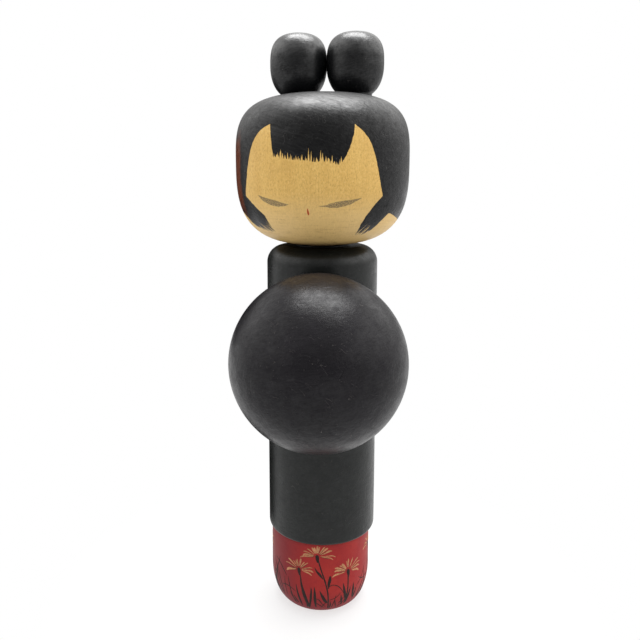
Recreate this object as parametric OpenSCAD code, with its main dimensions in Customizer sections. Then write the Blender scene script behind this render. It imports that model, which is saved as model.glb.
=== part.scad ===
// Kokeshi doll, turned in wood, lacquered black and red.
// Millimetres. +Z is up, the doll faces -Y, and the origin is the centre of the flat foot.

/* [Robe] */
// Diameter of the black robe, a straight turned cylinder
robe_d = 56; // [50:0.5:60]
// Height of the shoulder's flat top above the foot
robe_top = 189.8; // [184:0.2:189.8]
// Height of the robe's lower edge above the foot
robe_bottom = 41; // [36:0.5:48]
// Radius of the rounded shoulder
shoulder_r = 8.5; // [4:0.5:12]
// Radius of the softened lower edge
robe_edge_r = 1.6; // [0.4:0.1:1.8]

/* [Hem] */
// Diameter of the red hem that shows under the robe
hem_d = 51.8; // [44:0.2:52.2]
// Diameter of the flat foot that the doll stands on
foot_d = 36.2; // [34:0.2:42]
// Height over which the hem rounds in to the foot
hem_round_h = 18.2; // [8:0.2:30]

/* [Head] */
// Diameter of the head at its widest
head_d = 86.2; // [78:0.2:92]
// Height of the flat under the chin
head_bottom = 190.2; // [190:0.1:193]
// Height at which the head is widest
head_mid = 230.9; // [226:0.1:236]
// Height of the crown
head_top = 264; // [262.6:0.1:266]
// Squareness of the crown's curve, 2 is an ellipse
crown_n = 3.8; // [3.4:0.1:4.2]
// Squareness of the jaw's curve, 2 is an ellipse
jaw_n = 3.0; // [2.4:0.1:3.8]
// Turn of the head at rest, towards the doll's right shoulder
head_turn = 7; // [-20:1:20]

/* [Hair buns] */
// Diameter of each hair bun
bun_d = 29; // [24:0.1:29]
// Height of each bun above its widest part
bun_up = 15.2; // [12:0.1:18]
// Height of each bun's turned barrel below its widest part
bun_down = 17.6; // [16.8:0.1:20]
// Squareness of a bun's upper outline, 2 is an ellipse
bun_n = 2.7; // [2.2:0.1:3]
// Squareness of a bun's lower outline, 2 is an ellipse
bun_foot_n = 2.4; // [2.2:0.1:3]
// Distance between the two buns' axes
bun_pitch = 29.2; // [29.2:0.1:31]
// Distance of the buns behind the head's axis
bun_back = 14; // [10:0.5:18]
// Height of the floor of each bun's seat in the crown
bun_seat = 261.4; // [259.8:0.1:261.8]

/* [Sleeve ball] */
// Diameter of the large ball that stands for the folded sleeves
ball_d = 78.2; // [70:0.2:84]
// Height of the ball's centre
ball_z = 143.9; // [136:0.1:146]
// How deep the ball is coped onto the robe
ball_cope = 12; // [6:0.2:18]

/* [Pegs and dowels] */
// Diameter of the neck peg, glued in the robe
neck_peg_d = 18; // [14:0.5:20]
// Diameter of the turned collar between shoulder and chin
neck_collar_d = 27; // [23:0.5:30]
// Radial clearance of the head on the neck peg
neck_clear = 0.05; // [0.02:0.01:0.1]
// Diameter of the dowel that joins robe and hem
body_dowel_d = 20; // [14:0.5:24]
// Diameter of the dowel that holds the ball
ball_dowel_d = 12; // [8:0.5:14]
// Diameter of the peg in each bun
bun_peg_d = 8; // [5:0.5:9]

/* [Hidden] */

robe_r = robe_d / 2;
hem_r = hem_d / 2;
foot_r = foot_d / 2;
head_r = head_d / 2;
ball_r = ball_d / 2;
ball_y = robe_r + ball_r - ball_cope;      // distance of the ball's centre in front of the axis

neck_depth = 28;                           // neck peg in the robe
neck_up = 33;                              // neck peg in the head
collar_gap = 0.1;                          // between the collar and the chin's flat
dowel_down = 24;                           // body dowel in the hem
dowel_up = 36;                             // body dowel in the robe
ball_dowel_in = 18;                        // ball dowel in the robe
ball_dowel_out = 25;                       // ball dowel in the ball
peg_down = 13;                             // bun peg in the head
peg_up = 15;                               // bun peg in the bun
glue_gap = 0.5;                            // room for glue at the blind end of each bore

bun_mid = bun_seat + 1.6 + bun_down;       // height of a bun's widest part
bun_foot_r = 0.595 * bun_d / 2;            // flat foot of a bun, in its seat
seat_r = 0.65 * bun_d / 2;                 // the seat sunk in the crown

curve_steps = 28;

// One quarter of a squared ellipse, from its side to its pole.
function quarter(r, h, n) =
    [for (i = [0:curve_steps]) let (a = 90 * i / curve_steps)
        [r * pow(cos(a), 2 / n), h * pow(sin(a), 2 / n)]];

function reversed(v) = [for (i = [len(v) - 1:-1:0]) v[i]];

// Closed half outline with its own curve above and below the widest height.
function barrel_outline(r, h_up, n_up, h_down, n_down) =
    concat(reversed([for (p = quarter(r, h_down, n_down)) [p[0], -p[1]]]),
           [for (i = [1:curve_steps]) quarter(r, h_up, n_up)[i]]);

module barrel(r, h_up, n_up, h_down, n_down) {
    rotate_extrude($fn = 128)
        polygon(barrel_outline(r, h_up, n_up, h_down, n_down));
}

// A cylinder from one height to another.
module round_bar(r, z0, z1) {
    translate([0, 0, z0]) cylinder(h = z1 - z0, r = r, $fn = 96);
}

// A bar along the doll's front axis, from y0 back to y1.
module front_bar(r, y0, y1, z) {
    translate([0, y1, z]) rotate([90, 0, 0]) cylinder(h = y1 - y0, r = r, $fn = 96);
}

// Puts a child at one bun's place, side is -1 for the doll's right bun and 1 for its left.
module at_bun(side) {
    rotate([0, 0, -head_turn]) translate([side * bun_pitch / 2, bun_back, 0]) children();
}

module robe_body() {
    color([0.09, 0.09, 0.09])
    difference() {
        rotate_extrude($fn = 128)
            union() {
                translate([0, robe_bottom]) square([robe_r - robe_edge_r, robe_top - robe_bottom - shoulder_r]);
                translate([0, robe_bottom + robe_edge_r])
                    square([robe_r, robe_top - robe_bottom - shoulder_r - robe_edge_r]);
                translate([0, robe_top - shoulder_r - 1]) square([robe_r - shoulder_r, shoulder_r + 1]);
                translate([robe_r - robe_edge_r, robe_bottom + robe_edge_r]) circle(r = robe_edge_r, $fn = 48);
                translate([robe_r - shoulder_r, robe_top - shoulder_r]) circle(r = shoulder_r, $fn = 96);
            }
        round_bar(neck_peg_d / 2, robe_top - neck_depth - glue_gap, robe_top + 1);
        round_bar(body_dowel_d / 2, robe_bottom - 1, robe_bottom + dowel_up + glue_gap);
        front_bar(ball_dowel_d / 2, -robe_r - 2, -robe_r + ball_dowel_in + glue_gap, ball_z);
    }
}

module hem_base() {
    foot_curve = [for (i = [0:curve_steps]) let (a = 90 * i / curve_steps)
        [foot_r + (hem_r - foot_r) * sin(a), hem_round_h * (1 - cos(a))]];
    color([0.66, 0.16, 0.13])
    difference() {
        rotate_extrude($fn = 128)
            polygon(concat([[0, 0]], foot_curve, [[hem_r, robe_bottom], [0, robe_bottom]]));
        round_bar(body_dowel_d / 2, robe_bottom - dowel_down - glue_gap, robe_bottom + 1);
    }
}

module body_dowel() {
    color([0.86, 0.74, 0.52])
    round_bar(body_dowel_d / 2, robe_bottom - dowel_down, robe_bottom + dowel_up);
}

module sleeve_ball() {
    color([0.1, 0.09, 0.09])
    difference() {
        translate([0, -ball_y, ball_z]) rotate([90, 0, 0])
            rotate_extrude($fn = 128)
                intersection() {
                    circle(r = ball_r, $fn = 128);
                    translate([0, -ball_r]) square([ball_r, 2 * ball_r]);
                }
        round_bar(robe_r, ball_z - ball_r - 1, ball_z + ball_r + 1);
        front_bar(ball_dowel_d / 2, -robe_r - ball_dowel_out - glue_gap, -robe_r + 2, ball_z);
    }
}

module ball_dowel() {
    color([0.86, 0.74, 0.52])
    front_bar(ball_dowel_d / 2, -robe_r - ball_dowel_out, -robe_r + ball_dowel_in, ball_z);
}

module neck_peg() {
    color([0.86, 0.74, 0.52])
    union() {
        round_bar(neck_peg_d / 2, robe_top - neck_depth, robe_top + 0.1);
        round_bar(neck_collar_d / 2, robe_top, head_bottom - collar_gap);
        round_bar(neck_peg_d / 2 - neck_clear, head_bottom - collar_gap - 0.1, head_bottom + neck_up);
    }
}

module head() {
    color([0.84, 0.68, 0.43])
    difference() {
        translate([0, 0, head_mid])
            barrel(head_r, head_top - head_mid, crown_n, head_mid - head_bottom, jaw_n);
        round_bar(neck_peg_d / 2, head_bottom - 1, head_bottom + neck_up + glue_gap);
        for (side = [-1, 1]) at_bun(side) {
            round_bar(seat_r, bun_seat, head_top + 1);
            round_bar(bun_peg_d / 2, bun_seat - peg_down - glue_gap, bun_seat + 1);
        }
    }
}

module bun() {
    difference() {
        union() {
            translate([0, 0, bun_mid]) barrel(bun_d / 2, bun_up, bun_n, bun_down, bun_foot_n);
            round_bar(bun_foot_r, bun_seat, bun_seat + 5);
        }
        round_bar(bun_peg_d / 2, bun_seat - 1, bun_seat + peg_up + glue_gap);
    }
}

module bun_left() { color([0.08, 0.08, 0.08]) at_bun(1) bun(); }
module bun_right() { color([0.08, 0.08, 0.08]) at_bun(-1) bun(); }

module bun_peg() { round_bar(bun_peg_d / 2, bun_seat - peg_down, bun_seat + peg_up); }

module bun_peg_left() { color([0.86, 0.74, 0.52]) at_bun(1) bun_peg(); }
module bun_peg_right() { color([0.86, 0.74, 0.52]) at_bun(-1) bun_peg(); }

robe_body();
hem_base();
body_dowel();
sleeve_ball();
ball_dowel();
neck_peg();
head();
bun_left();
bun_right();
bun_peg_left();
bun_peg_right();
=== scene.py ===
import math
import random

import bmesh
import bpy
from mathutils import Matrix, Vector


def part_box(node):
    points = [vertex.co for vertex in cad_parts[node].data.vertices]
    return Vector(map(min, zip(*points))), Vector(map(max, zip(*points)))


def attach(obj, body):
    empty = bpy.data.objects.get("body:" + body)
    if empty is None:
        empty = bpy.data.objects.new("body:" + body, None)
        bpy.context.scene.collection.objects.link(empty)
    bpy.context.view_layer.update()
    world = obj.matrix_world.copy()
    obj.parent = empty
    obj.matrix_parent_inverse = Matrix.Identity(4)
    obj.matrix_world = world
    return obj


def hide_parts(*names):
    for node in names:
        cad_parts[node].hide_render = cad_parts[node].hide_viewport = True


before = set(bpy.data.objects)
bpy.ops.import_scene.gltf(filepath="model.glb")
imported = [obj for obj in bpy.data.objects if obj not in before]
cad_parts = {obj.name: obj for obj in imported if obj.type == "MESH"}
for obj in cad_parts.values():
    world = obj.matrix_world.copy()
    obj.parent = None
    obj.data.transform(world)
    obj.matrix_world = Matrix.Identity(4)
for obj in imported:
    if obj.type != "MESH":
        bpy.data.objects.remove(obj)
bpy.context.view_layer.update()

MM = 0.001
HEAD_TURN = 7.0            # degrees that the face looks towards -X at rest
CURVE = 56

# ---------------------------------------------------------------- sizes, from the CAD nodes, in mm


def box_mm(node):
    lo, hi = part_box(node)
    return lo / MM, hi / MM


robe_lo, robe_hi = box_mm("robe_body")
hem_lo, hem_hi = box_mm("hem_base")
ball_lo, ball_hi = box_mm("sleeve_ball")
head_lo, head_hi = box_mm("head")
dowel_lo, dowel_hi = box_mm("body_dowel")
pin_lo, pin_hi = box_mm("ball_dowel")
neck_lo, neck_hi = box_mm("neck_peg")

ROBE_R = (robe_hi.x - robe_lo.x) / 2
ROBE_Z0, ROBE_Z1 = robe_lo.z, robe_hi.z
HEM_R = (hem_hi.x - hem_lo.x) / 2
FOOT_R = HEM_R * 0.69884
HEM_ROUND = 18.2
BALL_R = (ball_hi.x - ball_lo.x) / 2
BALL_Z = (ball_lo.z + ball_hi.z) / 2
BALL_Y = ball_lo.y + BALL_R
HEAD_R = (head_hi.x - head_lo.x) / 2
HEAD_Z0, HEAD_Z1 = head_lo.z, head_hi.z
HEAD_MID = HEAD_Z0 + 0.5515 * (HEAD_Z1 - HEAD_Z0)
DOWEL_R = (dowel_hi.x - dowel_lo.x) / 2
PIN_R = (pin_hi.x - pin_lo.x) / 2
NECK_R = 9.0

# ---------------------------------------------------------------- mesh helpers


def superellipse(r, h_up, n_up, h_down, n_down, zc, steps=CURVE):
    """Half outline from the bottom pole, round the widest height, to the top pole."""
    down = []
    for i in range(steps + 1):
        a = math.radians(90 * i / steps)
        down.append((r * math.cos(a) ** (2 / n_down), zc - h_down * math.sin(a) ** (2 / n_down)))
    up = []
    for i in range(1, steps + 1):
        a = math.radians(90 * i / steps)
        up.append((r * math.cos(a) ** (2 / n_up), zc + h_up * math.sin(a) ** (2 / n_up)))
    return down[::-1] + up


def resample(points, step):
    """Points along a polyline no further apart than step, its corners kept."""
    out = [points[0]]
    for a, b in zip(points, points[1:]):
        n = max(1, math.ceil(math.dist(a, b) / step))
        for i in range(1, n + 1):
            t = i / n
            out.append((a[0] + (b[0] - a[0]) * t, a[1] + (b[1] - a[1]) * t))
    return out


def new_object(name, mesh, body):
    obj = bpy.data.objects.new(name, mesh)
    bpy.context.scene.collection.objects.link(obj)
    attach(obj, body)
    return obj


def turned(name, outline, segments=192, centre=(0.0, 0.0), shape=None):
    """A mesh turned about the vertical axis through centre from a half outline in mm that runs from axis to axis."""
    bm = bmesh.new()
    rings = []
    for r, z in outline:
        if r < 1e-6:
            p = Vector((0.0, 0.0, z))
            if shape:
                p = shape(p, 0.0, r)
            rings.append([bm.verts.new(((p.x + centre[0]) * MM, (p.y + centre[1]) * MM, p.z * MM))])
            continue
        ring = []
        for k in range(segments):
            a = 2 * math.pi * k / segments
            p = Vector((r * math.sin(a), -r * math.cos(a), z))
            if shape:
                p = shape(p, a, r)
            ring.append(bm.verts.new(((p.x + centre[0]) * MM, (p.y + centre[1]) * MM, p.z * MM)))
        rings.append(ring)
    for a, b in zip(rings, rings[1:]):
        if len(a) == 1 and len(b) == 1:
            continue
        for k in range(segments):
            n = (k + 1) % segments
            if len(a) == 1:
                bm.faces.new((a[0], b[n], b[k]))
            elif len(b) == 1:
                bm.faces.new((a[k], a[n], b[0]))
            else:
                bm.faces.new((a[k], a[n], b[n], b[k]))
    bmesh.ops.recalc_face_normals(bm, faces=bm.faces)
    mesh = bpy.data.meshes.new(name)
    bm.to_mesh(mesh)
    bm.free()
    return mesh


def soften(mesh, angle=32):
    for p in mesh.polygons:
        p.use_smooth = True
    mesh.set_sharp_from_angle(angle=math.radians(angle))


def cutter(name, radius, start, direction, length, segments=96):
    """A plain round cutter in mm, made for one boolean and then removed."""
    bm = bmesh.new()
    bmesh.ops.create_cone(bm, cap_ends=True, segments=segments, radius1=radius * MM, radius2=radius * MM, depth=length * MM)
    d = Vector(direction).normalized()
    turn = Vector((0, 0, 1)).rotation_difference(d).to_matrix().to_4x4()
    at = (Vector(start) + d * length / 2) * MM
    bm.transform(Matrix.Translation(at) @ turn)
    mesh = bpy.data.meshes.new(name)
    bm.to_mesh(mesh)
    bm.free()
    obj = bpy.data.objects.new(name, mesh)
    bpy.context.scene.collection.objects.link(obj)
    return obj


def cut(mesh, cutters):
    """The mesh with each cutter taken away, as a new mesh. The cutters are removed."""
    holder = bpy.data.objects.new("holder", mesh)
    bpy.context.scene.collection.objects.link(holder)
    for c in cutters:
        m = holder.modifiers.new("cut", "BOOLEAN")
        m.operation = "DIFFERENCE"
        m.solver = "EXACT"
        m.object = c
    dg = bpy.context.evaluated_depsgraph_get()
    made = bpy.data.meshes.new_from_object(holder.evaluated_get(dg))
    made.name = mesh.name
    bpy.data.objects.remove(holder)
    for c in cutters:
        data = c.data
        bpy.data.objects.remove(c)
        bpy.data.meshes.remove(data)
    bm = bmesh.new()
    bm.from_mesh(made)
    bmesh.ops.remove_doubles(bm, verts=bm.verts, dist=1e-7)
    bmesh.ops.dissolve_degenerate(bm, dist=1e-7, edges=bm.edges)
    bmesh.ops.recalc_face_normals(bm, faces=bm.faces)
    bm.to_mesh(made)
    bm.free()
    return made


# ---------------------------------------------------------------- node helpers


class Val:
    """A socket or number in a node tree, with arithmetic that adds Math nodes."""

    def __init__(self, tree, sock):
        self.tree, self.sock = tree, sock

    def _op(self, op, *others, clamp=False):
        n = self.tree.nodes.new("ShaderNodeMath")
        n.operation, n.use_clamp = op, clamp
        for i, v in enumerate((self, *others)):
            if isinstance(v, Val):
                self.tree.links.new(v.sock, n.inputs[i])
            else:
                n.inputs[i].default_value = v
        return Val(self.tree, n.outputs[0])

    def _left(self, op, a, b):
        n = self.tree.nodes.new("ShaderNodeMath")
        n.operation = op
        n.inputs[0].default_value = a
        self.tree.links.new(b.sock, n.inputs[1])
        return Val(self.tree, n.outputs[0])

    def __add__(self, o): return self._op("ADD", o)
    def __radd__(self, o): return self._op("ADD", o)
    def __sub__(self, o): return self._op("SUBTRACT", o)
    def __rsub__(self, o): return self._left("SUBTRACT", o, self)
    def __mul__(self, o): return self._op("MULTIPLY", o)
    def __rmul__(self, o): return self._op("MULTIPLY", o)
    def __truediv__(self, o): return self._op("DIVIDE", o)
    def abs(self): return self._op("ABSOLUTE")
    def pow(self, e): return self._op("POWER", e)
    def min(self, o): return self._op("MINIMUM", o)
    def max(self, o): return self._op("MAXIMUM", o)
    def clamp(self): return self._op("ADD", 0.0, clamp=True)
    def sin(self): return self._op("SINE")

    def step(self, lo, hi, out0=0.0, out1=1.0):
        """Smooth step from out0 at lo to out1 at hi."""
        n = self.tree.nodes.new("ShaderNodeMapRange")
        n.interpolation_type = "SMOOTHSTEP"
        self.tree.links.new(self.sock, n.inputs[0])
        for i, v in ((1, lo), (2, hi), (3, out0), (4, out1)):
            n.inputs[i].default_value = v
        return Val(self.tree, n.outputs[0])

    def curve(self, points, lo, hi):
        """Straight-line curve through (in, out) points, flat outside them."""
        outs = [p[1] for p in points]
        o0, o1 = min(outs), max(outs)
        span = (o1 - o0) or 1.0
        u = ((self - lo) / (hi - lo)).clamp()
        n = self.tree.nodes.new("ShaderNodeFloatCurve")
        self.tree.links.new(u.sock, n.inputs["Value"])
        c = n.mapping.curves[0]
        pts = [((x - lo) / (hi - lo), (y - o0) / span) for x, y in points]
        while len(c.points) < len(pts):
            c.points.new(0.5, 0.5)
        for cp, (x, y) in zip(c.points, sorted(pts)):
            cp.location = (x, y)
            cp.handle_type = "VECTOR"
        n.mapping.update()
        return Val(self.tree, n.outputs[0]) * span + o0


class Mat:
    """A procedural material on the Principled shader, in object coordinates in mm."""

    def __init__(self, name):
        self.mat = bpy.data.materials.new(name)
        self.mat.use_nodes = True
        self.t = self.mat.node_tree
        self.shader = self.t.nodes["Principled BSDF"]
        co = self.t.nodes.new("ShaderNodeTexCoord")
        sep = self.t.nodes.new("ShaderNodeSeparateXYZ")
        self.t.links.new(co.outputs["Object"], sep.inputs[0])
        self.x = Val(self.t, sep.outputs[0]) * 1000.0
        self.y = Val(self.t, sep.outputs[1]) * 1000.0
        self.z = Val(self.t, sep.outputs[2]) * 1000.0

    def vec(self, x, y, z):
        n = self.t.nodes.new("ShaderNodeCombineXYZ")
        for i, v in enumerate((x, y, z)):
            if isinstance(v, Val):
                self.t.links.new(v.sock, n.inputs[i])
            else:
                n.inputs[i].default_value = v
        return n.outputs[0]

    def noise(self, x, y, z, scale=1.0, detail=3.0, rough=0.55, distort=0.0):
        n = self.t.nodes.new("ShaderNodeTexNoise")
        n.noise_dimensions = "3D"
        self.t.links.new(self.vec(x, y, z), n.inputs["Vector"])
        n.inputs["Scale"].default_value = scale
        n.inputs["Detail"].default_value = detail
        n.inputs["Roughness"].default_value = rough
        n.inputs["Distortion"].default_value = distort
        return Val(self.t, n.outputs[0])

    def noise1(self, w, scale=1.0, detail=2.0, rough=0.5):
        n = self.t.nodes.new("ShaderNodeTexNoise")
        n.noise_dimensions = "1D"
        self.t.links.new(w.sock, n.inputs["W"])
        n.inputs["Scale"].default_value = scale
        n.inputs["Detail"].default_value = detail
        n.inputs["Roughness"].default_value = rough
        return Val(self.t, n.outputs[0])

    def cells(self, x, y, z, scale=1.0, randomness=1.0, feature="F1"):
        """Voronoi distance and one random number per cell."""
        n = self.t.nodes.new("ShaderNodeTexVoronoi")
        n.voronoi_dimensions, n.feature = "3D", feature
        self.t.links.new(self.vec(x, y, z), n.inputs["Vector"])
        n.inputs["Scale"].default_value = scale
        n.inputs["Randomness"].default_value = randomness
        sep = self.t.nodes.new("ShaderNodeSeparateColor")
        self.t.links.new(n.outputs["Color"], sep.inputs[0])
        return Val(self.t, n.outputs["Distance"]), Val(self.t, sep.outputs[0]), Val(self.t, sep.outputs[1])

    def spikes(self, w, period, seed=0.0):
        """Bristle points along w: a triangle of random height in each cell, 0 to 1."""
        n = self.t.nodes.new("ShaderNodeTexVoronoi")
        n.voronoi_dimensions, n.feature = "1D", "F1"
        self.t.links.new((w + seed).sock, n.inputs["W"])
        n.inputs["Scale"].default_value = 1.0 / period
        n.inputs["Randomness"].default_value = 0.85
        sep = self.t.nodes.new("ShaderNodeSeparateColor")
        self.t.links.new(n.outputs["Color"], sep.inputs[0])
        tall = Val(self.t, sep.outputs[0])
        near = (1.0 - Val(self.t, n.outputs["Distance"]) * 2.4).clamp()
        return near * tall

    def mix(self, fac, a, b):
        """Colour mix, where a and b are linear (r, g, b) or sockets."""
        n = self.t.nodes.new("ShaderNodeMix")
        n.data_type = "RGBA"
        n.clamp_factor = True
        if isinstance(fac, Val):
            self.t.links.new(fac.sock, n.inputs[0])
        else:
            n.inputs[0].default_value = fac
        for i, v in ((6, a), (7, b)):
            if isinstance(v, (tuple, list)):
                n.inputs[i].default_value = (*v, 1.0)
            else:
                self.t.links.new(v, n.inputs[i])
        return n.outputs[2]

    def lerp(self, fac, a, b):
        a_ = a if isinstance(a, Val) else None
        if a_ is None and not isinstance(b, Val):
            return fac * (b - a) + a
        return fac * (b - a) + a

    def bump(self, height, strength, distance_mm, before=None):
        n = self.t.nodes.new("ShaderNodeBump")
        self.t.links.new(height.sock, n.inputs["Height"])
        n.inputs["Strength"].default_value = strength
        n.inputs["Distance"].default_value = distance_mm * MM
        if before is not None:
            self.t.links.new(before, n.inputs["Normal"])
        return n.outputs[0]

    def set(self, **kw):
        names = {"color": "Base Color", "rough": "Roughness", "normal": "Normal", "coat": "Coat Weight",
                 "coat_rough": "Coat Roughness", "spec": "Specular IOR Level", "ior": "IOR", "sheen": "Sheen Weight"}
        for k, v in kw.items():
            s = self.shader.inputs[names[k]]
            if isinstance(v, Val):
                self.t.links.new(v.sock, s)
            elif isinstance(v, (tuple, list)):
                s.default_value = (*v, 1.0)
            elif isinstance(v, (int, float)):
                s.default_value = v
            else:
                self.t.links.new(v, s)
        return self.mat


def srgb(r, g, b):
    return tuple((c / 255 / 12.92) if c / 255 <= 0.04045 else ((c / 255 + 0.055) / 1.055) ** 2.4 for c in (r, g, b))


# ---------------------------------------------------------------- materials

SPEC = 0.30                # satin lacquer, less glossy than plain varnish


def lacquer(name, tone, seed, worn=0.5, turning="z", origin=(0.0, 0.0, 0.0), grain=0.5, rough=0.36, spec=SPEC, matte=None, vary=1.0, marks=(), polish=None):
    """Satin black lacquer over turned wood: faint lathe rings and grain under it, soft mottling, hairline scratches and specks."""
    m = Mat(name)
    s = seed * 37.0
    x, y, z = m.x - origin[0] + s, m.y - origin[1], m.z - origin[2]
    # lathe rings round the turning axis, and wood grain along it
    if turning == "z":
        rings = m.noise(x * 0.02, y * 0.02, z * 1.0, scale=1.7, detail=3)
        fine = m.noise(x * 0.06, y * 0.06, z * 1.0, scale=6.0, detail=2)
        fibre = m.noise(x, y, z * 0.06, scale=1.6, detail=3, rough=0.6)
    else:
        rad = ((m.x - origin[0]).pow(2.0) + (m.z - origin[2]).pow(2.0)).pow(0.5)
        rings = m.noise(rad, y * 0.8, z * 0.0, scale=1.2, detail=3)
        fine = m.noise(x * 0.08, y * 0.3, z, scale=5.0, detail=2)
        fibre = m.noise(x * 0.12, y, z, scale=1.5, detail=3, rough=0.6)
    cloud = m.noise(x, y, z, scale=0.045, detail=4, rough=0.6)
    patch = m.noise(x, y, z, scale=0.22, detail=4, rough=0.6, distort=0.6)
    mottle = m.noise(x, y, z, scale=0.9, detail=4, rough=0.65)
    # hairline scratches: thin level lines of a stretched noise, shown only in patches
    sa = m.noise(x * 0.5 + z * 0.5, y * 0.5, z * 0.12 - x * 0.1, scale=0.33, detail=1.5)
    line_a = (1.0 - ((sa - 0.5).abs() * 170.0)).clamp() * patch.step(0.56, 0.66)
    sb = m.noise(z * 0.6 - x * 0.3, x * 0.12 + z * 0.05, y * 0.5, scale=0.42, detail=1.0)
    line_b = (1.0 - ((sb - 0.47).abs() * 210.0)).clamp() * mottle.step(0.54, 0.62) * patch.step(0.48, 0.6)
    scratch = (line_a + line_b).clamp() * worn
    # specks and tiny chips
    d, pick, size = m.cells(x, y, z, scale=0.34)
    speck = d.step(0.05, 0.1, 1.0, 0.0) * pick.step(0.82, 0.86) * worn
    d2, pick2, _ = m.cells(x + 11.0, y + 5.0, z, scale=1.1)
    dust = d2.step(0.08, 0.17, 1.0, 0.0) * pick2.step(0.66, 0.70) * (cloud * 0.6 + patch * 0.4).step(0.50, 0.58) * worn
    base = m.mix(cloud.step(0.3, 0.7), tuple(c * 0.82 for c in tone), tuple(c * 1.3 for c in tone))
    base = m.mix(patch.step(0.52, 0.78) * 0.35, base, tuple(c * 1.9 for c in tone))
    base = m.mix((scratch * 0.5 + speck * 0.6 + dust * 0.5).clamp(), base, srgb(112, 108, 104))
    r = rough + (patch - 0.5) * 0.22 + (mottle - 0.5) * 0.16 + (rings - 0.5) * 0.10 + scratch * 0.15 + (speck + dust) * 0.2
    drag = m.noise(x * 0.3 + z * 0.5, y * 0.5, z * 2.2 - x * 0.6, scale=0.8, detail=4, rough=0.7)
    height = (rings - 0.5) * 0.4 + (fine - 0.5) * 0.12 + (fibre - 0.5) * 0.5 * grain + (mottle - 0.5) * 0.45 + (patch - 0.5) * 1.6 + (drag - 0.5) * 0.35
    # old knocks: short curved dents, each an arc with its middle at (x, z), on the front
    for cx, cz, arc_r, lo_a, hi_a, deep in marks:
        dx, dz = m.x - cx, m.z - cz
        band = (1.0 - ((dx * dx + dz * dz).pow(0.5) - arc_r).abs() * 1.7).clamp()
        side = dx * math.cos(math.radians(lo_a)) + dz * math.sin(math.radians(lo_a))
        band = band * side.step(hi_a * arc_r, (hi_a + 0.25) * arc_r) * (m.y - origin[1]).step(2.0, -2.0)
        height = height - band * deep
    n1 = m.bump(height, 0.8, 0.12)
    n2 = m.bump(scratch * -1.0 - speck, 0.5, 0.07, n1)
    gloss = (1.0 - ((patch - 0.5) * 1.5 + (drag - 0.5) * 1.5 + (mottle - 0.5) * 0.8) * vary) * spec
    if matte is not None:
        gloss = gloss * (1.0 - m.z.step(matte - 5.0, matte - 1.0) * 0.85)
    if polish is not None:
        gloss = gloss * m.z.curve(polish, polish[0][0], polish[-1][0])
    return m.set(color=base, rough=r, normal=n2, spec=gloss.clamp())


robe_black = lacquer("robe_black", (0.0060, 0.0070, 0.0066), 1, worn=0.4, grain=0.7, rough=0.32, matte=ROBE_Z1, vary=0.45)
ball_black = lacquer("ball_black", (0.0060, 0.0052, 0.0068), 2, worn=0.8, turning="y",
                     origin=(0.0, BALL_Y, BALL_Z), grain=0.5, rough=0.335, spec=0.205, vary=0.8,
                     marks=((-7.5, 141.5, 6.2, 90, 0.80, 1.3), (-0.6, 149.4, 3.0, -80, 0.80, 1.5), (7.4, 151.8, 3.2, -30, 0.82, 1.2),
                            (-3.6, 155.2, 2.2, 80, 0.75, 1.0), (5.8, 136.0, 2.4, 100, 0.80, 1.0)))
bun_black = lacquer("bun_black", (0.0028, 0.0030, 0.0036), 3, worn=0.6, grain=1.0, rough=0.36, spec=0.43,
                    polish=((270.0, 0.85), (283.0, 0.85), (288.0, 1.9), (292.5, 2.3), (296.5, 1.5)))


def face_coordinates(m):
    """Azimuth in degrees from the middle of the face, positive towards the doll's left, and height in mm."""
    t = math.radians(HEAD_TURN)
    side = m.x * math.cos(t) - m.y * math.sin(t)
    front = (m.x * math.sin(t) + m.y * math.cos(t)) * -1.0
    n = m.t.nodes.new("ShaderNodeMath")
    n.operation = "ARCTAN2"
    m.t.links.new(side.sock, n.inputs[0])
    m.t.links.new(front.sock, n.inputs[1])
    return Val(m.t, n.outputs[0]) * (180.0 / math.pi), m.z


# pale waxed wood: main tones, darker grain, light streaks, flecks, and a paler tone that is painted fill light on the
# lower face
WOOD_A, WOOD_B = (0.785, 0.505, 0.149), (0.715, 0.444, 0.123)
WOOD_C, WOOD_D = (0.48, 0.270, 0.070), (0.84, 0.610, 0.240)
WOOD_E, WOOD_LOW_FILL = (0.40, 0.220, 0.068), (0.84, 0.600, 0.270)


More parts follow.
